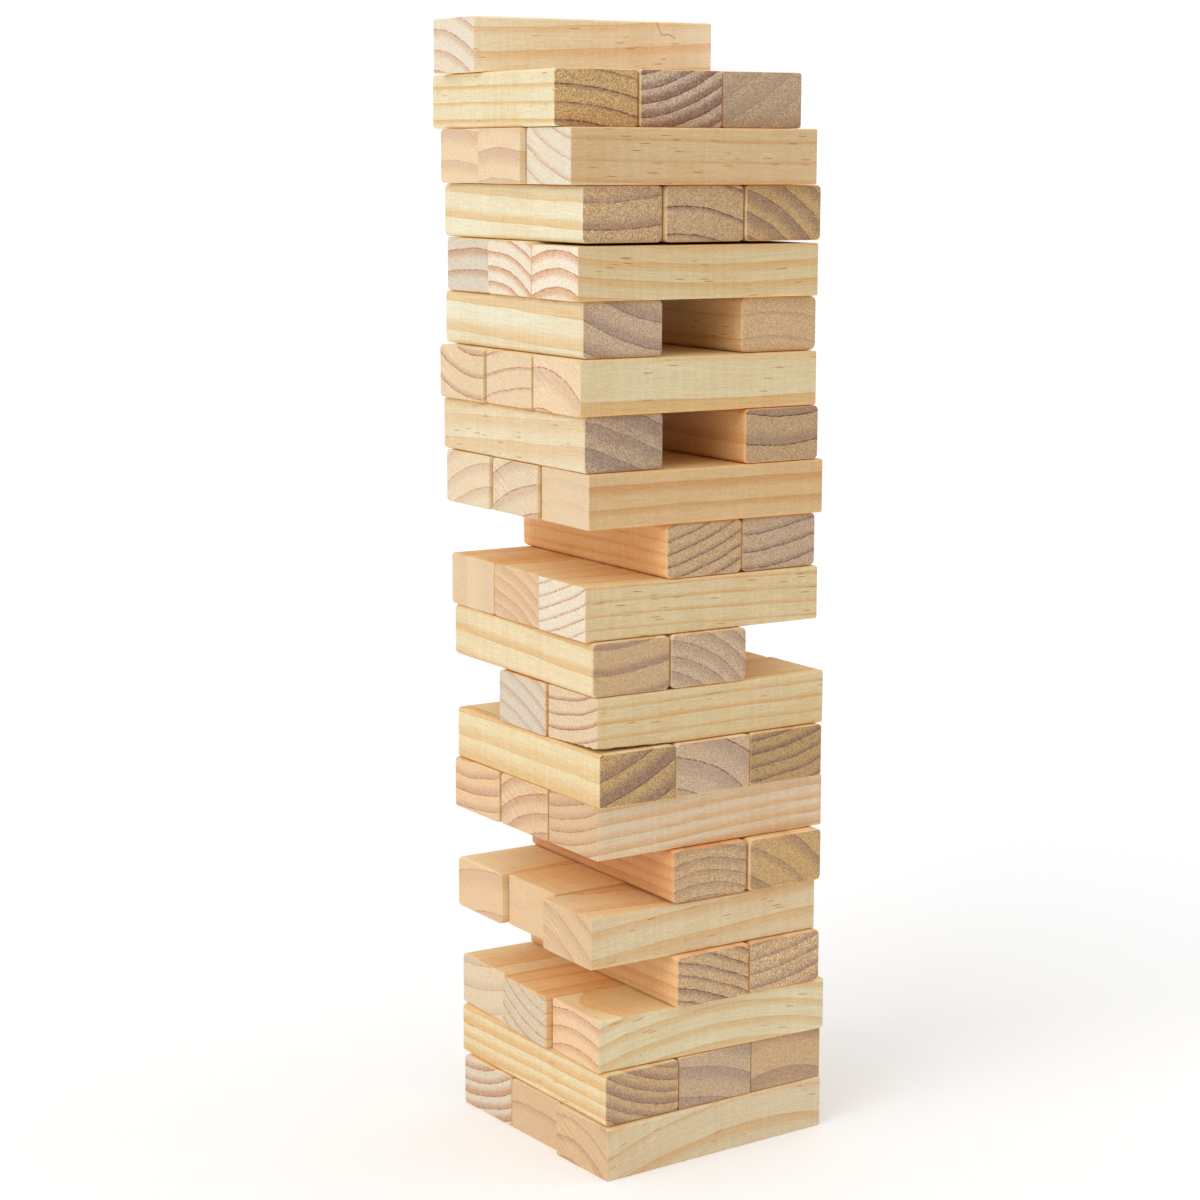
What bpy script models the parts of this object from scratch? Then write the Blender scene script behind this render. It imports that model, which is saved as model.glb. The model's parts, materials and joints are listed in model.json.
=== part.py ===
"""Giant tumbling tower: a lawn game of loose pine blocks, stacked crosswise and part-way through play.

Frame: metres, +Z up, origin on the ground under the tower's centre line.
Levels are counted from the ground.  Odd levels have blocks that run along X and even levels have
blocks that run along Y.  Every block is a loose piece of its own, and its object's origin is at
its own centre, on the line along which it is pushed out of the tower.
"""

from math import radians
from typing import NamedTuple

import bmesh
import bpy
from mathutils import Matrix, Vector

# Driving dimensions, in metres.  A block is a nominal 15 x 5 x 3 cm, planed and sanded down a little.
BLOCK_LENGTH = 0.150
BLOCK_WIDTH = 0.049
BLOCK_THICKNESS = 0.0294
SIDE_GAP = 0.0008       # between neighbours in a level
REST_GAP = 0.0003       # between a block and the one it lies on

# Rounding of the edges, in metres.
LONG_EDGE_RADIUS = 0.0025
END_EDGE_RADIUS = 0.0008
ROUNDING_SEGMENTS = 2

# Spacing that follows from the dimensions.
SLOT_PITCH = BLOCK_WIDTH + SIDE_GAP
LEVEL_PITCH = BLOCK_THICKNESS + REST_GAP
MILLIMETRE = 0.001

# The three slots of a level, in order of rising Y on odd levels and of rising X on even ones.
SLOTS_ALONG_X = ("front", "middle", "back")
SLOTS_ALONG_Y = ("left", "middle", "right")

# Planed pine comes in slightly different tones from board to board: linear RGB of each.
BOARD_TONES = {
    "pine_pale": (0.80, 0.60, 0.35),
    "pine_honey": (0.76, 0.54, 0.29),
    "pine_tan": (0.70, 0.49, 0.27),
}
BOARD_ROUGHNESS = 0.62


class Level(NamedTuple):
    """How one level lies: its turn, its shift across its blocks, and each block's push along its length."""

    turn_deg: float
    shift_mm: float
    push_mm: tuple      # one number a slot, or None where that block has been taken out
    tones: str          # one letter a slot: p, h or t for pale, honey or tan


LEVELS = (
    Level(3.5, -3.0, (3.5, 6.5, 6.5), "pth"),
    Level(2.0, 5.5, (-1.0, -0.5, 0.0), "pht"),
    Level(-0.5, -0.5, (7.5, 3.5, 5.0), "ptp"),
    Level(2.0, 1.0, (None, -4.0, -4.0), "-ht"),
    Level(1.0, -0.5, (-0.5, 7.5, 3.0), "php"),
    Level(0.5, 1.0, (None, -3.0, -4.5), "-th"),
    Level(1.0, 0.5, (4.0, 3.0, 2.0), "phh"),
    Level(1.0, 1.5, (-3.5, -3.0, -2.5), "hpt"),
    Level(1.0, -0.5, (3.0, 1.5, None), "pt-"),
    Level(0.0, 1.0, (-0.5, -0.5, None), "hh-"),
    Level(-0.5, 1.0, (-0.5, 0.0, 0.0), "pph"),
    Level(0.5, -1.5, (None, 2.0, 2.5), "-ht"),
    Level(-0.5, 0.0, (1.0, -1.5, -3.5), "thp"),
    Level(0.5, -2.5, (4.0, None, 0.0), "h-t"),
    Level(-0.5, 0.5, (-4.0, -5.0, -7.0), "php"),
    Level(-0.5, -1.0, (5.0, None, 5.0), "p-h"),
    Level(-1.5, 0.5, (-3.5, -3.5, -2.5), "ppt"),
    Level(-0.5, -0.5, (6.5, 4.0, 3.0), "phh"),
    Level(-3.0, 0.0, (-5.0, -9.0, -7.5), "hph"),
    Level(-4.0, -7.0, (13.0, 11.5, 12.0), "pht"),
    Level(-2.5, 0.0, (None, None, -11.0), "--p"),
)
TONE_LETTERS = {"p": "pine_pale", "h": "pine_honey", "t": "pine_tan"}


def clear_scene():
    """Empty the scene that this file opens in."""
    for thing in list(bpy.data.objects):
        bpy.data.objects.remove(thing, do_unlink=True)


def new_collection(name):
    """Make a collection and link it to the scene."""
    collection = bpy.data.collections.new(name)
    bpy.context.scene.collection.children.link(collection)
    return collection


def wood_material(name, colour):
    """Bare, sanded pine: no lacquer, so it is matt."""
    material = bpy.data.materials.new(name)
    material.use_nodes = True
    shader = material.node_tree.nodes["Principled BSDF"]
    shader.inputs["Base Color"].default_value = (*colour, 1.0)
    shader.inputs["Roughness"].default_value = BOARD_ROUGHNESS
    shader.inputs["Metallic"].default_value = 0.0
    return material


def weigh_edges_for_rounding(form):
    """Give the four long edges the full rounding, and the saw-cut end edges a smaller one."""
    weight = form.edges.layers.float.new("bevel_weight_edge")
    for edge in form.edges:
        run = edge.verts[1].co - edge.verts[0].co
        is_long_edge = abs(run.x) > BLOCK_LENGTH / 2
        edge[weight] = 1.0 if is_long_edge else END_EDGE_RADIUS / LONG_EDGE_RADIUS


def block_mesh(name, material):
    """One square-cut block, centred on its own origin, with its length along X."""
    form = bmesh.new()
    bmesh.ops.create_cube(form, size=1.0)
    bmesh.ops.scale(form, vec=(BLOCK_LENGTH, BLOCK_WIDTH, BLOCK_THICKNESS), verts=form.verts)
    weigh_edges_for_rounding(form)
    mesh = bpy.data.meshes.new(name)
    form.to_mesh(mesh)
    form.free()
    mesh.materials.append(material)
    return mesh


def round_edges(block):
    """Rounded-over edges, as left by sanding."""
    bevel = block.modifiers.new("Rounded edges", "BEVEL")
    bevel.limit_method = "WEIGHT"
    bevel.width = LONG_EDGE_RADIUS
    bevel.segments = ROUNDING_SEGMENTS


def block_matrix(number, level, slot):
    """World placement of the block in one slot (0, 1 or 2) of a level (counted from 1)."""
    runs_along_x = number % 2 == 1
    push = level.push_mm[slot] * MILLIMETRE
    across = (slot - 1) * SLOT_PITCH + level.shift_mm * MILLIMETRE
    height = (number - 1) * LEVEL_PITCH + BLOCK_THICKNESS / 2
    if runs_along_x:
        centre = Vector((push, across, height))
        quarter_turn = Matrix.Identity(4)
    else:
        centre = Vector((across, push, height))
        quarter_turn = Matrix.Rotation(radians(90), 4, "Z")
    turn = Matrix.Rotation(radians(level.turn_deg), 4, "Z")
    return turn @ Matrix.Translation(centre) @ quarter_turn


def block_name(number, slot):
    """A name by level from the ground and by slot, such as level_03_front."""
    slots = SLOTS_ALONG_X if number % 2 == 1 else SLOTS_ALONG_Y
    return f"level_{number:02d}_{slots[slot]}"


def build_tower():
    """Make every block that is still in the tower."""
    tower = new_collection("giant_tumbling_tower")
    meshes = {}
    for tone, colour in BOARD_TONES.items():
        meshes[tone] = block_mesh(f"{tone}_block", wood_material(tone, colour))
    for number, level in enumerate(LEVELS, start=1):
        for slot, push in enumerate(level.push_mm):
            if push is None:
                continue
            tone = TONE_LETTERS[level.tones[slot]]
            block = bpy.data.objects.new(block_name(number, slot), meshes[tone])
            block.matrix_world = block_matrix(number, level, slot)
            round_edges(block)
            tower.objects.link(block)


clear_scene()
build_tower()
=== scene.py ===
"""Looks of the giant tumbling tower: every CAD block is replaced by a sanded pine block of its own.

Each block is cut from its own board.  A board's traits say where the tree's pith lay as seen from
the block's near end, how wide its growth rings are and how its grain runs, so that the arcs on the
ends and the bands on the long faces are one and the same solid pattern.
Lengths are in metres in the scene; the traits of boards, and the wood's own coordinates, are in
millimetres.
"""

import json
import math
from typing import NamedTuple

import bpy
import numpy as np
from mathutils import Matrix, Vector


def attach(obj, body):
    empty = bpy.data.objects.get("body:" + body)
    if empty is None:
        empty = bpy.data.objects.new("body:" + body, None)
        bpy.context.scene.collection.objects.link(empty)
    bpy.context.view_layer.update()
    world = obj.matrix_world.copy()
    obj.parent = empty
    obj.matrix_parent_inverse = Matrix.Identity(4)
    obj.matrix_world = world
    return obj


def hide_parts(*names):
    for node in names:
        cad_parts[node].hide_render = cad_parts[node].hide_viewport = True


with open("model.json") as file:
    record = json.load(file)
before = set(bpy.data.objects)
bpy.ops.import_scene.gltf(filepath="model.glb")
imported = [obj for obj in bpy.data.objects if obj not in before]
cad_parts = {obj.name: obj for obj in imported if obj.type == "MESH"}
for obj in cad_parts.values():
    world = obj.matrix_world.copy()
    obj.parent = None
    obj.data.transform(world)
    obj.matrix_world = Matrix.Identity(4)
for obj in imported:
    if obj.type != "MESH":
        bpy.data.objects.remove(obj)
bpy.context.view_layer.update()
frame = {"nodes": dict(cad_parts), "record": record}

MM = 0.001

# Camera, at the picture's viewing angle.
CAMERA_PLACE = (-0.7845, -1.2228, 0.5467)
CAMERA_HEADING = 31.955     # degrees from +Y towards +X
CAMERA_DIP = 9.524          # degrees below the horizon
CAMERA_ROLL = 0.18          # degrees
CAMERA_LENS = 78.48         # mm
CAMERA_SENSOR = 36.0        # mm

# Colours are linear RGB.
FLOOR_COLOUR = (0.95, 0.95, 0.95)
FLOOR_RADIUS = 6.0          # m
FLOOR_CORNERS = 96
FLOOR_ROUGHNESS = 0.9
FLOOR_GLOW = 0.09           # lifts the floor to the white of the backdrop
SKY_SEEN = 1.05             # what the camera sees behind the floor
SKY_HORIZON = 0.12          # what lights the tower, from low down and from above
SKY_ZENITH = 1.04
SKY_SIDES = 0.46            # more light from the left and the right
SKY_RISE = (0.25, 0.85)     # height at which the light starts and stops growing, as a sine
SKY_TURN = (0.45, 0.95)     # the same towards the left and the right
# Suns: the direction they come from, their angle across in degrees, and their power.
KEY_SUN = ((-1.0, -0.22, 0.62), 45.0, 0.97)
FILL_SUN = ((1.0, -0.55, 0.45), 40.0, 0.10)

# Wood of the long faces: the pale early wood and the orange-brown late wood of each ring.
SIDE_COLOURS = {
    "pine_pale": ((0.835, 0.700, 0.450), (0.785, 0.515, 0.240)),
    "pine_honey": ((0.833, 0.632, 0.361), (0.762, 0.471, 0.205)),
    "pine_tan": ((0.822, 0.561, 0.296), (0.722, 0.401, 0.160)),
}
# Wood of the sawn ends: early wood, late wood, and the thin hard edge of a ring.
# The darker sets, gold, sand, umber and ash, go on the ends that face away from the key light:
# painted shade on top of the wood's own colour.
END_COLOURS = {
    "white": ((0.820, 0.715, 0.560), (0.650, 0.370, 0.220), (0.500, 0.175, 0.075)),
    "apricot": ((0.815, 0.620, 0.400), (0.580, 0.360, 0.260), (0.480, 0.180, 0.090)),
    "peach": ((0.790, 0.550, 0.325), (0.590, 0.330, 0.215), (0.460, 0.150, 0.070)),
    "cream": ((0.780, 0.630, 0.440), (0.590, 0.390, 0.280), (0.480, 0.200, 0.110)),
    "grey": ((0.700, 0.595, 0.470), (0.480, 0.360, 0.290), (0.380, 0.230, 0.170)),
    "gold": ((0.625, 0.405, 0.185), (0.335, 0.200, 0.150), (0.170, 0.060, 0.035)),
    "sand": ((0.640, 0.435, 0.245), (0.370, 0.225, 0.170), (0.190, 0.070, 0.040)),
    "umber": ((0.570, 0.430, 0.300), (0.290, 0.150, 0.110), (0.170, 0.060, 0.040)),
    "ash": ((0.615, 0.440, 0.290), (0.355, 0.240, 0.195), (0.190, 0.080, 0.050)),
}
WIDE_FACE = 14.0            # mm from the block's middle up to its wide faces
WIDE_BLEND = 1.0            # mm
WIDE_FACE_PAINTED_LIGHT = (1.11, 1.06, 1.00)          # painted light: the wide top and bottom faces are made lighter and warmer
GRIT_TINT = (1.00, 1.10, 1.20)          # how much the sawn grit varies red, green and blue
FIBRE_TINT = (0.80, 1.00, 1.45)         # the same for the fibres of the long faces


class Board(NamedTuple):
    """Traits of the board that a block was cut from, seen from the block's near end, in mm."""

    pith: tuple             # centre of the growth rings: right of, and above, the end's centre
    ring: float             # width of one growth ring
    dark: tuple             # a point of the end on the sharp outer side of a dark ring
    late: float             # share of the ring that is dark
    depth: float            # how dark it is, 0 to 1
    end: str                # colours of the ends
    shade: float = 1.0      # lightness of the ends: partly the board's own tone, partly painted light and shade, darker low on the tower and lighter high up
    climb: float = 0.0      # rise of the grain from the near end to the far end
    bow: float = 0.0        # rise of the grain at mid-length above its ends
    resin: float = 0.3      # how many resin streaks, 0 to 1
    edge: float = 2.4       # radius of the sanded long edges
    coarse: float = 0.3     # how rough the ends are sawn, 0 to 1
    line: float = 0.5       # how dark the hard edge of a ring is on the ends, 0 to 1
    saw: float = 0.3        # how strong the saw lines on the ends are, 0 to 1
    slant: float = 70.0     # slant of the saw lines, degrees
    band: float = 0.8       # how dark the bands on the long faces are, 0 to 1
    tone: tuple = (1.0, 1.0, 1.0)   # tint of the long faces: partly the board's own tone, partly painted light and shade, paler and cooler where the key light falls, warmer where it does not, orange painted shade on walls in recesses
    thin: float = 0.0       # how much thinner than nominal it was planed
    crack: float = 0.0      # how dark the small crack on the right long face is, 0 to 1
    torn: float = 0.0       # how much is torn off the near end's lower right corner, in mm


BOARDS = {
    "level_01_front": Board(
        (-12, -47), 12.0, (-7.5, 11.3), 0.22, 0.6, "peach", 0.87,
        climb=13, bow=10, edge=1.2, coarse=0.17, saw=0.9, slant=60, tone=(0.95, 0.93, 0.94),
    ),
    "level_01_middle": Board((-2, -160), 22.0, (-2, 3.5), 0.15, 0.45, "peach", 0.87, coarse=0.06),
    "level_01_back": Board(
        (-24.5, 95), 7.6, (-24, 0), 0.42, 1.0, "white", 0.85,
        coarse=0.28, line=0.8,
    ),
    "level_02_left": Board(
        (31, 98), 6.9, (-24, 5), 0.42, 0.75, "sand", 1.01,
        climb=-2, edge=3.0, coarse=0.5, band=1.0, tone=(0.95, 0.93, 0.87),
    ),
    "level_02_middle": Board(
        (-36, -145), 17.0, (0, 5.5), 0.35, 0.6, "ash", 1.04,
        edge=0.8, coarse=0.5, line=0.3,
    ),
    "level_02_right": Board(
        (-4, -80), 22.0, (-4, -3.7), 0.35, 0.6, "sand", 1.06,
        edge=0.9, coarse=0.4, line=0.3,
    ),
    "level_03_front": Board(
        (2, -87), 10.0, (0, 3), 0.32, 0.65, "peach", 1.05,
        climb=2, bow=10, edge=1.0, coarse=0.17, line=0.8, tone=(0.98, 1.01, 0.99),
    ),
    "level_03_middle": Board(
        (33, 95), 7.5, (0, -5), 0.2, 0.5, "cream", 0.88,
        coarse=0.28, line=0.7,
    ),
    "level_03_back": Board((-30, 150), 14.0, (-24, -5), 0.3, 0.45, "cream", 0.96, coarse=0.17),
    "level_04_middle": Board(
        (-52, -142), 7.2, (-2, -1), 0.35, 0.8, "sand", 1.03,
        climb=-2, coarse=0.7, line=1.0, tone=(1.02, 0.87, 0.78),
    ),
    "level_04_right": Board(
        (-41, 230), 8.2, (-2, -2), 0.35, 0.75, "sand", 1.09,
        edge=3.2, coarse=1.0,
    ),
    "level_05_front": Board(
        (-50, -110), 12.5, (-8, -5), 0.3, 0.4, "peach", 0.92,
        climb=9, bow=1, resin=0.8, edge=1.0, coarse=0.11, saw=0.8, slant=65,
        tone=(0.96, 0.91, 0.86), thin=0.9,
    ),
    "level_05_middle": Board(
        (-40, 160), 20.0, (0, 0), 0.2, 0.1, "peach", 0.98,
        edge=1.4, coarse=0.11, line=0.1,
    ),
    "level_05_back": Board(
        (28, -160), 24.0, (-2, 12), 0.3, 0.35, "peach", 0.99,
        edge=3.0, coarse=0.06,
    ),
    "level_06_middle": Board(
        (-6, -88), 7.0, (-6, 8.5), 0.4, 0.45, "sand", 1.01,
        edge=3.0, coarse=0.7, tone=(1.0, 0.82, 0.75),
    ),
    "level_06_right": Board(
        (-48, -64), 16.0, (-2, 0), 0.3, 0.6, "gold", 1.01,
        edge=2.8, coarse=0.6, saw=0.5, slant=40,
    ),
    "level_07_front": Board(
        (-45, 180), 7.0, (-2, 3), 0.42, 0.65, "peach", 0.89,
        climb=5, edge=1.0, coarse=0.22, line=0.7, band=1.0, tone=(0.97, 0.91, 0.95),
    ),
    "level_07_middle": Board(
        (37, -99), 11.0, (3, 8), 0.38, 0.75, "peach", 0.97,
        coarse=0.28, line=0.8, saw=0.9, slant=60,
    ),
    "level_07_back": Board(
        (-15, 140), 9.4, (-2, -4), 0.35, 0.75, "peach", 1.01,
        coarse=0.17, line=0.7,
    ),
    "level_08_left": Board(
        (-70, 150), 13.0, (-2, -6.5), 0.45, 0.9, "gold", 0.94,
        climb=-1, edge=2.2, coarse=0.8, line=0.8, band=1.0, tone=(0.99, 1.08, 1.13),
    ),
    "level_08_middle": Board(
        (-40, -80), 16.7, (-8, 3.5), 0.4, 0.5, "ash", 1.09,
        coarse=0.5, line=1.0,
    ),
    "level_08_right": Board(
        (-40, 200), 7.8, (-2, -3), 0.3, 0.85, "gold", 0.85,
        coarse=0.6, line=0.6,
    ),
    "level_09_front": Board(
        (-20, 110), 7.6, (-2, 0.6), 0.2, 1.0, "apricot", 0.93,
        edge=1.0, coarse=0.28, line=1.0, tone=(0.94, 0.87, 0.75), torn=2.2,
    ),
    "level_09_middle": Board((-50, -130), 9.0, (-2, 2.5), 0.25, 0.45, "grey", coarse=0.17),
    "level_10_left": Board(
        (-16, 150), 14.2, (-2, -3.3), 0.25, 0.8, "sand", 1.04,
        climb=4, edge=3.2, coarse=0.4, line=0.05, band=1.0, tone=(0.99, 1.06, 1.15),
    ),
    "level_10_middle": Board(
        (-35, -60), 8.5, (-8, 8), 0.45, 0.5, "ash", 1.08,
        edge=3.2, coarse=0.6,
    ),
    "level_11_front": Board(
        (-70, 200), 6.8, (-2, -5), 0.22, 0.55, "white",
        climb=-3, resin=0.8, edge=1.2, coarse=0.22, line=0.7, tone=(0.95, 0.89, 0.79),
    ),
    "level_11_middle": Board(
        (-40, -110), 7.5, (-2, 4), 0.45, 0.42, "peach", 0.98,
        coarse=0.17, line=0.4,
    ),
    "level_11_back": Board(
        (-80, 0), 30.0, (-5.5, 0), 0.4, 0.2, "apricot", 0.98,
        coarse=0.06, line=0.05,
    ),
    "level_12_middle": Board(
        (-80, 230), 7.0, (-2, -3), 0.25, 0.8, "sand", 0.98,
        edge=3.2, coarse=0.6, line=0.9, tone=(1.15, 0.96, 0.8),
    ),
    "level_12_right": Board(
        (-30, 200), 9.5, (-2, -2.5), 0.25, 0.85, "ash", 0.98,
        edge=3.2, coarse=0.6, line=1.0,
    ),
    "level_13_front": Board(
        (0, -150), 12.0, (0, -2), 0.3, 0.14, "apricot", 0.96,
        resin=0.1, edge=1.0, coarse=0.11, line=0.1, band=1.0, tone=(0.93, 0.91, 0.86),
    ),
    "level_13_middle": Board(
        (35, -110), 15.0, (-8, -3), 0.3, 0.6, "cream", 0.99,
        coarse=0.22, line=1.0, saw=0.8, slant=60,
    ),
    "level_13_back": Board(
        (35, -100), 13.0, (-8, 3.5), 0.3, 0.45, "cream", 1.05,
        coarse=0.17, line=0.6,
    ),
    "level_14_left": Board(
        (-60, -150), 13.0, (-2, 6), 0.55, 0.75, "ash", 0.91,
        climb=-7, resin=0.9, coarse=0.8, band=0.85, tone=(0.99, 1.12, 1.35),
    ),
    "level_14_right": Board(
        (0, 120), 16.0, (0, 9.5), 0.3, 0.65, "sand", 0.87,
        edge=2.8, coarse=0.6, line=1.0, tone=(1.06, 0.92, 0.8),
    ),
    "level_15_front": Board(
        (-17.5, -59), 22.0, (-17.5, 8.9), 0.3, 0.45, "apricot", 1.04,
        climb=-3, resin=0.2, edge=1.2, coarse=0.22, line=1.0, saw=0.8, slant=60, band=1.0,
        tone=(0.98, 0.96, 0.89),
    ),
    "level_15_middle": Board(
        (35, -220), 10.7, (0, 5.9), 0.18, 0.75, "apricot", 0.99,
        coarse=0.22, line=0.9,
    ),
    "level_15_back": Board(
        (20, 88), 12.0, (20, -1.8), 0.2, 0.75, "apricot", 0.98,
        coarse=0.22, line=1.0, saw=0.6, slant=60,
    ),
    "level_16_left": Board(
        (38, 109), 14.0, (9, -9), 0.35, 0.7, "ash", 1.05,
        climb=4, resin=0.1, edge=2.6, coarse=0.6, line=0.6, band=1.0, tone=(1.01, 1.11, 1.25),
    ),
    "level_16_right": Board(
        (-5, -120), 13.0, (-2, 7), 0.12, 0.3, "sand", 1.09,
        edge=3.4, coarse=0.5, line=0.2, tone=(1.05, 0.93, 0.82),
    ),
    "level_17_front": Board(
        (2, -68), 9.6, (2, 2.2), 0.34, 0.95, "white", 1.09,
        climb=-3, bow=-3, edge=1.0, coarse=0.28, line=0.9, tone=(0.93, 0.87, 0.75), thin=1.2,
    ),
    "level_17_middle": Board(
        (-22, -85), 8.0, (-8, 8), 0.32, 0.95, "white", 1.05,
        coarse=0.22, line=0.9,
    ),
    "level_17_back": Board(
        (8, -250), 12.0, (-2, 9.5), 0.35, 0.95, "white", 0.88,
        coarse=0.28, line=0.9,
    ),
    "level_18_left": Board(
        (-14, 260), 14.0, (-2, -8), 0.25, 0.7, "sand", 1.02,
        climb=4, edge=2.6, coarse=0.9, line=0.8, band=1.0, tone=(1.04, 1.14, 1.25),
    ),
    "level_18_middle": Board(
        (-15, -90), 14.5, (-13, 4.5), 0.12, 0.75, "sand", 0.95,
        edge=2.6, coarse=0.7, line=1.0, saw=0.8, slant=60,
    ),
    "level_18_right": Board(
        (-62, -92), 11.0, (-2, 2.5), 0.5, 0.8, "gold", 0.97,
        edge=2.6, coarse=0.7,
    ),
    "level_19_front": Board(
        (50, 130), 10.5, (-2, -6), 0.18, 0.45, "white", 0.99,
        climb=-2, resin=1.0, edge=1.2, coarse=0.17, saw=0.7, tone=(0.9, 0.83, 0.78),
    ),
    "level_19_middle": Board(
        (2, -200), 15.5, (0, 4.2), 0.35, 0.6, "apricot", 1.05,
        coarse=0.17, line=0.4,
    ),
    "level_19_back": Board(
        (-15, -250), 17.0, (-2, -2), 0.3, 0.5, "apricot", 1.05,
        coarse=0.11, line=0.15,
    ),
    "level_20_left": Board(
        (-25, -150), 9.0, (-2, 6), 0.18, 0.65, "gold", 1.06,
        climb=1, edge=1.6, coarse=1.0, line=0.9, band=1.0, tone=(1.02, 1.06, 1.07),
    ),
    "level_20_middle": Board(
        (-35, 95), 7.5, (-2, -6), 0.45, 1.0, "umber", 1.12,
        edge=1.4, coarse=0.8, line=0.9,
    ),
    "level_20_right": Board(
        (-100, 150), 12.0, (0, 0), 0.4, 0.25, "ash", 0.92,
        edge=1.8, coarse=0.8, line=0.2,
    ),
    "level_21_back": Board(
        (-30, -100), 11.0, (-8, 8), 0.28, 0.6, "white", 1.01,
        climb=8, resin=0.5, edge=1.2, coarse=0.17, line=0.7, tone=(1.2, 1.22, 1.33), crack=0.8,
    ),
}
SLOT_OF = {part["node"]: part["material_slot"] for part in frame["record"]["subparts"]}

# The small crack: its corners on the right long face, along the block and up it, in mm.
CRACK_PATH = ((38.5, 15.5), (40.5, 11.0), (42.5, 7.4), (47.0, 7.9), (51.0, 5.9))
CRACK_COLOUR = (0.44, 0.33, 0.09, 1.0)
CRACK_DEPTH = 0.85
CRACK_REACH = -8.0          # it stays on this side of the block's middle, in mm
CRACK_EDGE = (0.15, 0.55, 1.0, 0.0)     # mm from its middle, and how dark it is there
CRACK_WOBBLE = (0.8, -0.4)  # mm
CRACK_WOBBLE_RATE = 0.9     # per mm
FAR_AWAY = 100.0            # mm, further than any point of the block from the crack


# ---------------------------------------------------------------- shape of a block

ARC_STEPS = 6               # along each rounded long edge
FLAT_STEP = 2.0             # mm between points on the flats of the section
STATION_STEP = 6.0          # mm between sections along the block
END_SHARE = 0.45            # radius of the sawn ends' edges, as a share of the long edges'
END_STEPS = 4
TRUNK_STEP = 400.0          # mm between one board and the next along the tree
TEAR_REACH = (55.0, 46.0, 6.0)          # mm along, across and up from the corner
TEAR_WAVE = (0.20, 0.45, 0.90)          # how ragged, and how fast it changes along and across


class Placing(NamedTuple):
    """Where a CAD block is: its centre, its axes (along, across, up) and its size, in metres."""

    centre: Vector
    axes: tuple
    size: tuple


def placing_of(node):
    """Read a block's placing from its CAD mesh: its points spread most along the block."""
    points = np.array([v.co for v in frame["nodes"][node].data.vertices])
    spread = np.cov(points[:, :2].T)
    along = np.append(np.linalg.eigh(spread)[1][:, 1], 0.0)
    if along[0] + along[1] < 0:
        along = -along
    axes = (along, np.array((-along[1], along[0], 0.0)), np.array((0.0, 0.0, 1.0)))
    lows = [(points @ axis).min() for axis in axes]
    highs = [(points @ axis).max() for axis in axes]
    centre = sum((low + high) / 2 * axis for low, high, axis in zip(lows, highs, axes))
    return Placing(Vector(centre), axes, tuple(high - low for low, high in zip(lows, highs)))


def section(width, thickness, radius):
    """Points of a rounded rectangle across the block, with their outward normals, in mm."""
    points = []
    normals = []
    half = (width / 2 - radius, thickness / 2 - radius)
    corners = ((1, 1), (-1, 1), (-1, -1), (1, -1))
    for number, (side, height) in enumerate(corners):
        start = number * math.pi / 2
        for step in range(ARC_STEPS + 1):
            angle = start + step / ARC_STEPS * math.pi / 2
            normal = (math.cos(angle), math.sin(angle))
            centre = (side * half[0], height * half[1])
            points.append((centre[0] + radius * normal[0], centre[1] + radius * normal[1]))
            normals.append(normal)
        next_side, next_height = corners[(number + 1) % 4]
        flat = normals[-1]
        begin = np.array(points[-1])
        finish = np.array((next_side * half[0], next_height * half[1])) + radius * np.array(flat)
        count = max(2, round(float(np.linalg.norm(finish - begin)) / FLAT_STEP))
        for step in range(1, count):
            points.append(tuple(begin + (finish - begin) * step / count))
            normals.append(flat)
    return np.array(points), np.array(normals)


def stations(length, lip):
    """Places from the far end to the near end, with two numbers for each.

    They say how far the section is drawn in there, and how much its points face the end.
    """
    places = []
    for step in range(END_STEPS, 0, -1):
        angle = step / END_STEPS * math.pi / 2
        place = length / 2 - lip * (1 - math.sin(angle))
        places.append((place, lip * (1 - math.cos(angle)), math.sin(angle)))
    inner = length / 2 - lip
    count = round(2 * inner / STATION_STEP)
    body = [(inner - 2 * inner * step / count, 0.0, 0.0) for step in range(count + 1)]
    mirrored = [(-place, drawn, facing) for place, drawn, facing in reversed(places)]
    return places + body + mirrored


def block_mesh(name, number, placing, board):
    """The block's skin in the row frame, with the wood's coordinates stored at its points."""
    length, width, thickness = (size / MM for size in placing.size)
    thickness -= board.thin
    outline, normals = section(width, thickness, board.edge)
    rows = stations(length, END_SHARE * board.edge)
    local = []
    facing = []
    for place, drawn, turned in rows:
        ring = outline - normals * drawn
        local.append(np.column_stack((np.full(len(ring), place), ring)))
        facing.append(np.full(len(ring), turned))
    local = np.concatenate(local)
    facing = np.concatenate(facing)
    local[:, 2] -= board.thin / 2
    local[:, 2] += board.torn * torn_share(local, (length, width, thickness + board.thin))
    around = len(outline)
    faces = []
    for row in range(len(rows) - 1):
        for point in range(around):
            next_point = (point + 1) % around
            low, high = row * around, (row + 1) * around
            faces.append((low + point, low + next_point, high + next_point, high + point))
    faces.append(tuple(reversed(range(around))))
    last = (len(rows) - 1) * around
    faces.append(tuple(range(last, last + around)))
    world = np.array(placing.centre) + local @ np.array(placing.axes) * MM
    mesh = bpy.data.meshes.new(name)
    mesh.from_pydata(world.tolist(), [], faces)
    mesh.shade_smooth()
    store(mesh, "block_mm", local)
    store(mesh, "log_mm", log_coordinates(local, length, board) + (0.0, 0.0, TRUNK_STEP * number))
    store(mesh, "facing_end", facing)
    mesh.flip_normals()     # the sections run backwards, so their faces look inwards
    return mesh


def torn_share(local, size):
    """How much of the near end's lower right corner is torn off at each point, 0 to 1."""
    share = 1 + TEAR_WAVE[0] * np.sin(TEAR_WAVE[1] * local[:, 0] + TEAR_WAVE[2] * local[:, 1])
    for axis, reach in enumerate(TEAR_REACH):
        share *= np.clip(1 - (local[:, axis] + size[axis] / 2) / reach, 0.0, 1.0)
    return share


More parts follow.
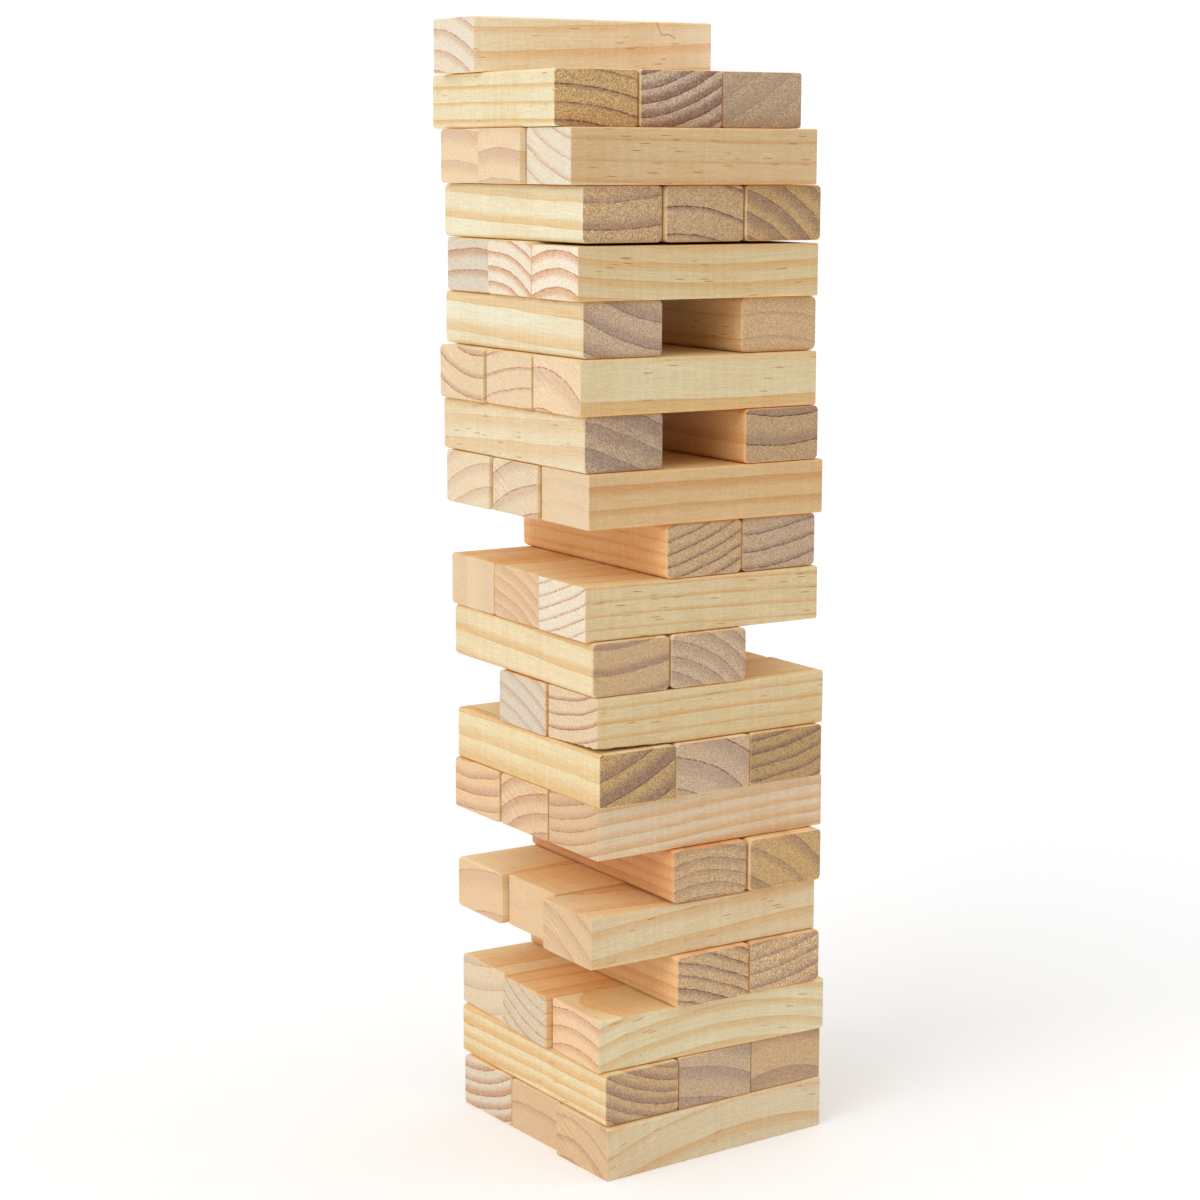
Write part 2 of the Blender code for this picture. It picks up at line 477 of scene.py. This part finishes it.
def log_coordinates(local, length, board):
    """From the block's own coordinates to the tree's: across the pith, above the pith, along it."""
    run = local[:, 0] / length
    rise = board.climb * (run + 0.5) + board.bow * (1 - 4 * run**2)
    across = -local[:, 1] - board.pith[0]
    above = local[:, 2] - board.pith[1] - rise
    return np.column_stack((across, above, local[:, 0]))


def store(mesh, name, values):
    """Keep one number or vector at each point of a mesh."""
    kind = "FLOAT" if values.ndim == 1 else "FLOAT_VECTOR"
    attribute = mesh.attributes.new(name, kind, "POINT")
    key = "value" if values.ndim == 1 else "vector"
    attribute.data.foreach_set(key, np.ascontiguousarray(values, dtype=np.float32).ravel())


# ---------------------------------------------------------------- wood


class Grain(NamedTuple):
    """A noise in the wood, and the smooth step that makes a share or a lightness of it."""

    rate: tuple             # how fast it changes across, above and along the pith, per mm
    detail: float = 2.0
    roughness: float = 0.5
    step: tuple = ()        # from and to which value the step runs, and what it gives there


# Rings that are not quite round.
WAVER = Grain((0.030, 0.030, 0.012), 1.0)
WAVER_WIDTH = 3.0           # mm
FINE_WAVER = Grain((0.40, 0.40, 0.020), 2.0, 0.6)
FINE_WAVER_WIDTH = 1.1      # mm
# A ring: its share of late wood and its darkness vary from ring to ring.
LATE_SHARE = (0.5, 0.8)     # spread and least
DARKNESS = (0.35, 0.72)     # spread and least
LATE_BEGINS = -1.7          # inwards from the ring's outer side, in shares of late wood
LATE_FULL = -0.45
SHARP_SIDE = (0.05, 0.30)   # mm from the ring's outer side
THIN_LINE = (0.50, 1.30, 1.0, 0.0)
BROKEN = Grain((0.5, 0.5, 0.05), step=(0.35, 0.60, 0.15, 1.0))
# The long faces.
FIBRE = Grain((1.8, 1.8, 0.055), 3.0, 0.6)
FIBRE_LIGHT = (0.30, 0.70, -0.07, 0.07)
SPECKLE = Grain((1.2, 1.2, 0.50), 2.0, 0.7, (0.35, 0.65, -0.05, 0.05))
PLANED = Grain((0.004, 0.004, 0.30), 1.0, step=(0.35, 0.65, -0.02, 0.02))
CLOUD = Grain((0.045, 0.045, 0.02), step=(0.40, 0.70, 0.0, 0.25))
BAND_LINE_DEPTH = 0.30
BAND_LINE_COLOUR = (0.60, 0.28, 0.09, 1.0)
STREAK_DEPTH = 0.85
STREAK_COLOUR = (0.56, 0.21, 0.06, 1.0)
STREAK_CELL = (0.50, 0.50, 0.040)       # per mm
STREAK_CORE = (0.10, 0.17, 1.0, 0.0)
STREAK_GROUP = Grain((0.07, 0.07, 0.02), 0.0, step=(0.35, 0.65, 0.2, 1.4))
# The sawn ends.
END_BEGINS = (0.55, 0.95)   # how much a point faces the end, from planed to sawn wood
SAND_RATE = (1.0, 1.0, 0.2)
SAND_SCALE = 1.5
SAND_ROUGHNESS = 0.7
GRIT_STEP = (0.36, 0.64, -0.6, 0.6)
GRIT_IN_LATE = (-0.50, 0.95)
GRIT_DEPTH = (0.62, 0.03)   # with the board's coarseness, and without
LATE_CLOSED = -0.5          # late wood has fewer open cells
PATCHES = Grain((0.07, 0.07, 0.02), step=(0.40, 0.70, 0.0, 0.35))
PATCH_TINT = (1.04, 0.94, 0.78)
SAW_MARKS = Grain((0.0, 1.1, 0.03), 2.0, 0.6, (0.35, 0.65, -0.14, 0.14))
SAW_PLACES = Grain((0.02, 0.06, 0.06), 1.0, step=(0.35, 0.60))
# Gloss and relief.
SIDE_ROUGHNESS = (0.16, 0.50)           # spread with the fibres, and least
END_ROUGHNESS = 0.86
SPECULAR_LEVEL = 0.35
RAISED_LATE_WOOD = 0.4
SIDE_RELIEF = 0.30
END_RELIEF = 0.60
RELIEF_DEPTH = 0.35 * MM


class Tree:
    """Short ways to add and join shader nodes."""

    def __init__(self, material):
        self.nodes = material.node_tree.nodes
        self.links = material.node_tree.links

    def add(self, kind, inputs=None, **settings):
        """Add a node, with settings on it and values or sockets on its inputs."""
        node = self.nodes.new(kind)
        for key, value in settings.items():
            setattr(node, key, value)
        for key, value in (inputs or {}).items():
            self.feed(node.inputs[key], value)
        return node

    def feed(self, socket, value):
        """Put a value on an input, or link a socket to it."""
        if isinstance(value, bpy.types.NodeSocket):
            self.links.new(value, socket)
        else:
            socket.default_value = value

    def math(self, operation, first, second=0.0, third=0.0):
        node = self.add("ShaderNodeMath", {0: first, 1: second, 2: third}, operation=operation)
        return node.outputs[0]

    def vector(self, operation, first, second=(0.0, 0.0, 0.0)):
        node = self.add("ShaderNodeVectorMath", {0: first, 1: second}, operation=operation)
        return node.outputs["Vector"]

    def mix(self, share, first, second):
        node = self.add("ShaderNodeMix", data_type="RGBA")
        self.feed(node.inputs["Factor"], share)
        self.feed(node.inputs[6], first)
        self.feed(node.inputs[7], second)
        return node.outputs[2]

    def smooth(self, value, low, high, out_low=0.0, out_high=1.0):
        """A smooth step from out_low at low to out_high at high."""
        node = self.add("ShaderNodeMapRange", interpolation_type="SMOOTHSTEP")
        for key, number in enumerate((value, low, high, out_low, out_high)):
            self.feed(node.inputs[key], number)
        return node.outputs[0]

    def noise(self, vector, scale, detail=2.0, roughness=0.5):
        inputs = {"Vector": vector, "Scale": scale, "Detail": detail, "Roughness": roughness}
        return self.add("ShaderNodeTexNoise", inputs).outputs[0]

    def grain(self, place, grain):
        """The grain's noise at a place in the wood, after the grain's smooth step if it has one."""
        stretched = self.vector("MULTIPLY", place, grain.rate)
        noise = self.noise(stretched, 1.0, grain.detail, grain.roughness)
        return self.smooth(noise, *grain.step) if grain.step else noise

    def point(self, name):
        """A vector or number stored at the mesh's points."""
        return self.add("ShaderNodeAttribute", attribute_type="GEOMETRY", attribute_name=name)

    def trait(self, name):
        """A number or colour stored on the object."""
        return self.add("ShaderNodeAttribute", attribute_type="OBJECT", attribute_name=name)


def pine_material(slot):
    """Bare sanded pine, from the traits of the object and the tree coordinates at its points."""
    material = bpy.data.materials.new(f"{slot}_wood")
    material.use_nodes = True
    tree = Tree(material)
    shader = tree.nodes["Principled BSDF"]
    early, late = SIDE_COLOURS[slot]

    log = tree.point("log_mm").outputs["Vector"]
    block = tree.point("block_mm").outputs["Vector"]
    facing = tree.point("facing_end").outputs["Fac"]
    on_end = tree.smooth(facing, *END_BEGINS)

    rings = growth_rings(tree, log)
    fibre = tree.grain(log, FIBRE)
    side = side_colour(tree, log, rings, fibre, early, late)
    height = tree.add("ShaderNodeSeparateXYZ", {0: block}).outputs["Z"]
    # Painted light: the wide top and bottom faces are made lighter and warmer.
    wide = tree.smooth(tree.math("ABSOLUTE", height), WIDE_FACE - WIDE_BLEND, WIDE_FACE)
    side = tree.mix(wide, side, tree.vector("MULTIPLY", side, WIDE_FACE_PAINTED_LIGHT))
    crack = crack_line(tree, block)
    side = tree.mix(tree.math("MULTIPLY", crack, CRACK_DEPTH), side, CRACK_COLOUR)
    end, sand = end_colour(tree, log, block, rings)
    colour = tree.mix(on_end, side, end)
    tree.feed(shader.inputs["Base Color"], colour)

    side_rough = tree.math("MULTIPLY_ADD", fibre, *SIDE_ROUGHNESS)
    rough = tree.add("ShaderNodeMix", {0: on_end, 2: side_rough, 3: END_ROUGHNESS}).outputs[0]
    tree.feed(shader.inputs["Roughness"], rough)
    shader.inputs["Specular IOR Level"].default_value = SPECULAR_LEVEL
    tree.feed(shader.inputs["Normal"], wood_bump(tree, rings.late, fibre, sand, on_end))
    return material


class Rings(NamedTuple):
    """Sockets that say where in its ring a point lies."""

    late: object            # 0 in early wood, rising to 1 in late wood
    line: object            # 1 on the thin hard edge of a ring


def growth_rings(tree, log):
    """Late wood that darkens slowly outwards from the pith, and ends at a hard thin line."""
    slow = tree.grain(log, WAVER)
    fine = tree.grain(log, FINE_WAVER)
    flat = tree.vector("MULTIPLY", log, (1.0, 1.0, 0.0))
    radius = tree.add("ShaderNodeVectorMath", {0: flat}, operation="LENGTH").outputs["Value"]
    radius = tree.math("MULTIPLY_ADD", tree.math("SUBTRACT", slow, 0.5), WAVER_WIDTH, radius)
    radius = tree.math("MULTIPLY_ADD", tree.math("SUBTRACT", fine, 0.5), FINE_WAVER_WIDTH, radius)
    width = tree.trait("ring_mm").outputs["Fac"]
    phase = tree.trait("ring_phase").outputs["Fac"]
    turns = tree.math("ADD", tree.math("DIVIDE", radius, width), phase)
    dice = tree.add("ShaderNodeTexWhiteNoise", noise_dimensions="1D")
    tree.feed(dice.inputs["W"], tree.math("FLOOR", turns))
    luck = dice.outputs["Value"]
    within = tree.math("FRACT", turns)
    to_edge = tree.math("MULTIPLY", tree.math("SUBTRACT", 1.0, within), width)
    share = tree.trait("late_share").outputs["Fac"]
    share = tree.math("MULTIPLY", share, tree.math("MULTIPLY_ADD", luck, *LATE_SHARE))
    begin = tree.math("MULTIPLY_ADD", share, LATE_BEGINS, 1.0)
    full = tree.math("MULTIPLY_ADD", share, LATE_FULL, 1.0)
    rising = tree.smooth(within, begin, full)
    edge = tree.smooth(to_edge, *SHARP_SIDE)
    strength = tree.math("MULTIPLY_ADD", luck, *DARKNESS)
    late = tree.math("MULTIPLY", tree.math("MULTIPLY", rising, edge), strength)
    thin = tree.math("MULTIPLY", tree.smooth(to_edge, *THIN_LINE), edge)
    line = tree.math("MULTIPLY", thin, tree.grain(log, BROKEN))
    line = tree.math("MULTIPLY", line, strength)
    return Rings(late, line)


def side_colour(tree, log, rings, fibre, early, late):
    """The long faces: soft orange bands, fine fibres and short brown resin streaks."""
    tone = tree.trait("tone").outputs["Color"]
    band = tree.trait("band").outputs["Fac"]
    colour = tree.mix(tree.math("MULTIPLY", rings.late, band), (*early, 1.0), (*late, 1.0))
    line = tree.math("MULTIPLY", tree.math("MULTIPLY", rings.line, band), BAND_LINE_DEPTH)
    colour = tree.mix(line, colour, BAND_LINE_COLOUR)
    colour = tree.mix(tree.grain(log, CLOUD), colour, (*late, 1.0))
    light = tree.math("ADD", tree.smooth(fibre, *FIBRE_LIGHT), tree.grain(log, SPECKLE))
    light = tree.math("ADD", light, tree.grain(log, PLANED))
    colour = tinted(tree, colour, light, FIBRE_TINT)
    streak = resin_streaks(tree, log)
    colour = tree.mix(tree.math("MULTIPLY", streak, STREAK_DEPTH), colour, STREAK_COLOUR)
    # The board's tone, painted light and shade included.
    return tree.vector("MULTIPLY", colour, tone)


def tinted(tree, colour, light, shares):
    """A colour made lighter or darker by a share of its own in red, green and blue."""
    factors = tree.add("ShaderNodeCombineXYZ")
    for channel, share in enumerate(shares):
        tree.feed(factors.inputs[channel], tree.math("MULTIPLY_ADD", light, share, 1.0))
    return tree.vector("MULTIPLY", colour, factors.outputs[0])


def resin_streaks(tree, log):
    """Short thin lines along the grain, where resin canals are cut; they come in groups."""
    cells = tree.vector("MULTIPLY", log, STREAK_CELL)
    spots = tree.add("ShaderNodeTexVoronoi", {"Vector": cells, "Scale": 1.0})
    near = tree.smooth(spots.outputs["Distance"], *STREAK_CORE)
    chance = tree.add("ShaderNodeSeparateColor", {0: spots.outputs["Color"]}).outputs[0]
    resin = tree.trait("resin").outputs["Fac"]
    share = tree.math("MULTIPLY", resin, tree.grain(log, STREAK_GROUP))
    return tree.math("MULTIPLY", near, tree.math("LESS_THAN", chance, share))


def end_colour(tree, log, block, rings):
    """The sawn ends: ring arcs, a sandy grain of open cells, and faint saw lines."""
    early = tree.trait("end_early").outputs["Color"]
    late = tree.trait("end_late").outputs["Color"]
    coarse = tree.trait("coarse").outputs["Fac"]
    depth = tree.trait("late_depth").outputs["Fac"]
    sand = tree.noise(tree.vector("MULTIPLY", log, SAND_RATE), SAND_SCALE, roughness=SAND_ROUGHNESS)
    grit = tree.smooth(sand, *GRIT_STEP)
    rough_late = tree.math("MULTIPLY", rings.late, tree.math("MULTIPLY_ADD", grit, *GRIT_IN_LATE))
    colour = tree.mix(tree.math("MULTIPLY", rough_late, depth), early, late)
    line = tree.math("MULTIPLY", rings.line, tree.trait("line").outputs["Fac"])
    colour = tree.mix(line, colour, tree.trait("end_line").outputs["Color"])
    warmer = tree.vector("MULTIPLY", colour, PATCH_TINT)
    colour = tree.mix(tree.grain(log, PATCHES), colour, warmer)
    open_cells = tree.math("MULTIPLY_ADD", rings.late, LATE_CLOSED, 1.0)
    amount = tree.math("MULTIPLY", tree.math("MULTIPLY_ADD", coarse, *GRIT_DEPTH), open_cells)
    saw = tree.math("MULTIPLY", saw_lines(tree, block), tree.trait("saw").outputs["Fac"])
    light = tree.math("ADD", tree.math("MULTIPLY", grit, amount), saw)
    return tinted(tree, colour, light, GRIT_TINT), sand


def crack_line(tree, block):
    """1 on the crack, on a block that has one."""
    axes = tree.add("ShaderNodeSeparateXYZ", {0: block}).outputs
    flat = tree.vector("MULTIPLY", block, (1.0, 0.0, 1.0))
    wobble = tree.math("MULTIPLY_ADD", tree.noise(flat, CRACK_WOBBLE_RATE), *CRACK_WOBBLE)
    nearest = FAR_AWAY
    for (x, z), (next_x, next_z) in zip(CRACK_PATH, CRACK_PATH[1:]):
        way = (next_x - x, 0.0, next_z - z)
        offset = tree.vector("SUBTRACT", flat, (x, 0.0, z))
        dot = tree.add("ShaderNodeVectorMath", {0: offset, 1: way}, operation="DOT_PRODUCT")
        share = tree.math("MULTIPLY", dot.outputs["Value"], 1.0 / (way[0] ** 2 + way[2] ** 2))
        share = tree.math("MINIMUM", tree.math("MAXIMUM", share, 0.0), 1.0)
        along = tree.add("ShaderNodeVectorMath", {0: way, "Scale": share}, operation="SCALE")
        ends = {0: offset, 1: along.outputs["Vector"]}
        gap = tree.add("ShaderNodeVectorMath", ends, operation="DISTANCE")
        nearest = tree.math("MINIMUM", nearest, gap.outputs["Value"])
    nearest = tree.math("ADD", nearest, wobble)
    line = tree.smooth(nearest, *CRACK_EDGE)
    drawn = tree.math("MULTIPLY", line, tree.trait("crack").outputs["Fac"])
    return tree.math("MULTIPLY", drawn, tree.math("LESS_THAN", axes[1], CRACK_REACH))


def saw_lines(tree, block):
    """Faint straight scratches across an end, stronger in places."""
    turned = tree.add("ShaderNodeVectorRotate", {"Vector": block, "Axis": (1.0, 0.0, 0.0)})
    tree.feed(turned.inputs["Angle"], tree.trait("saw_angle").outputs["Fac"])
    lines = tree.grain(turned.outputs[0], SAW_MARKS)
    return tree.math("MULTIPLY", lines, tree.grain(block, SAW_PLACES))


def wood_bump(tree, late, fibre, sand, on_end):
    """Raised fibres on the long faces, and an open, sawn grain on the ends."""
    side_height = tree.math("MULTIPLY_ADD", late, RAISED_LATE_WOOD, fibre)
    height = tree.add("ShaderNodeMix", {0: on_end, 2: side_height, 3: sand}).outputs[0]
    strength = tree.add("ShaderNodeMix", {0: on_end, 2: SIDE_RELIEF, 3: END_RELIEF}).outputs[0]
    inputs = {"Height": height, "Strength": strength, "Distance": RELIEF_DEPTH}
    bump = tree.add("ShaderNodeBump", inputs)
    return bump.outputs["Normal"]


def give_traits(piece, board):
    """Keep the board's traits on the object, where its material reads them."""
    radius = math.dist(board.dark, board.pith)
    early, late, line = END_COLOURS[board.end]
    piece["ring_mm"] = float(board.ring)
    piece["ring_phase"] = 1.0 - (radius / board.ring) % 1.0
    piece["late_share"] = board.late
    piece["late_depth"] = board.depth
    piece["resin"] = board.resin
    piece["coarse"] = board.coarse
    piece["line"] = board.line
    piece["saw"] = board.saw
    piece["saw_angle"] = math.radians(board.slant)
    piece["band"] = board.band
    piece["crack"] = board.crack
    piece["tone"] = list(board.tone)
    # The ends' colours take the board's shade, painted light and shade included.
    piece["end_early"] = [tone * board.shade for tone in early]
    piece["end_late"] = [tone * board.shade for tone in late]
    piece["end_line"] = [tone * board.shade for tone in line]


def build_blocks():
    """Replace every CAD block by its finished pine block."""
    woods = {slot: pine_material(slot) for slot in SIDE_COLOURS}
    bodies = frame["record"]["behaviour"]["bodies"]
    body_of = {node: body for body, nodes in bodies.items() for node in nodes}
    for number, node in enumerate(sorted(frame["nodes"])):
        board = BOARDS[node]
        mesh = block_mesh(f"{node}_block", number, placing_of(node), board)
        mesh.materials.append(woods[SLOT_OF[node]])
        piece = bpy.data.objects.new(f"{node}_block", mesh)
        bpy.context.scene.collection.objects.link(piece)
        piece.modifiers.new("Weighted normals", "WEIGHTED_NORMAL")
        give_traits(piece, board)
        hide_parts(node)
        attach(piece, body_of[node])


# ---------------------------------------------------------------- studio


def add_camera():
    """The camera, at the picture's viewing angle."""
    data = bpy.data.cameras.new("camera")
    data.lens = CAMERA_LENS
    data.sensor_width = CAMERA_SENSOR
    camera = bpy.data.objects.new("camera", data)
    camera.location = CAMERA_PLACE
    heading = Matrix.Rotation(math.radians(-CAMERA_HEADING), 3, "Z")
    dip = Matrix.Rotation(math.radians(90.0 - CAMERA_DIP), 3, "X")
    roll = Matrix.Rotation(math.radians(CAMERA_ROLL), 3, "Z")
    camera.rotation_euler = (heading @ dip @ roll).to_euler()
    bpy.context.scene.collection.objects.link(camera)
    bpy.context.scene.camera = camera


def add_floor():
    """A wide, pale, plain floor."""
    bpy.ops.mesh.primitive_circle_add(vertices=FLOOR_CORNERS, radius=FLOOR_RADIUS, fill_type="NGON")
    floor = bpy.context.object
    floor.name = "floor"
    material = bpy.data.materials.new("floor_paint")
    material.use_nodes = True
    shader = material.node_tree.nodes["Principled BSDF"]
    shader.inputs["Base Color"].default_value = (*FLOOR_COLOUR, 1.0)
    shader.inputs["Roughness"].default_value = FLOOR_ROUGHNESS
    shader.inputs["Emission Color"].default_value = (1.0, 1.0, 1.0, 1.0)
    shader.inputs["Emission Strength"].default_value = FLOOR_GLOW
    floor.data.materials.append(material)


def add_sun(name, towards, angle, power):
    """A wide, soft and even light that comes from a direction."""
    data = bpy.data.lights.new(name, "SUN")
    data.angle = math.radians(angle)
    data.energy = power
    light = bpy.data.objects.new(name, data)
    light.rotation_euler = Vector(towards).to_track_quat("Z", "Y").to_euler()
    bpy.context.scene.collection.objects.link(light)


def add_sky():
    """A white studio all round, whose light on the tower is weaker from low down."""
    world = bpy.data.worlds.new("studio")
    world.use_nodes = True
    bpy.context.scene.world = world
    tree = Tree(world)
    background = tree.nodes["Background"]
    place = tree.add("ShaderNodeTexCoord").outputs["Generated"]
    axes = tree.add("ShaderNodeSeparateXYZ", {0: place}).outputs
    above = tree.smooth(axes["Z"], *SKY_RISE, SKY_HORIZON, SKY_ZENITH)
    beside = tree.smooth(tree.math("ABSOLUTE", axes["X"]), *SKY_TURN, 0.0, SKY_SIDES)
    lighting = tree.math("ADD", above, beside)
    seen = tree.add("ShaderNodeLightPath").outputs["Is Camera Ray"]
    strength = tree.add("ShaderNodeMix", {0: seen, 2: lighting, 3: SKY_SEEN}).outputs[0]
    tree.feed(background.inputs["Strength"], strength)
    background.inputs["Color"].default_value = (1.0, 1.0, 1.0, 1.0)


add_camera()
build_blocks()
add_floor()
add_sky()
add_sun("key", *KEY_SUN)
add_sun("fill", *FILL_SUN)
bpy.context.scene.view_settings.view_transform = "Standard"
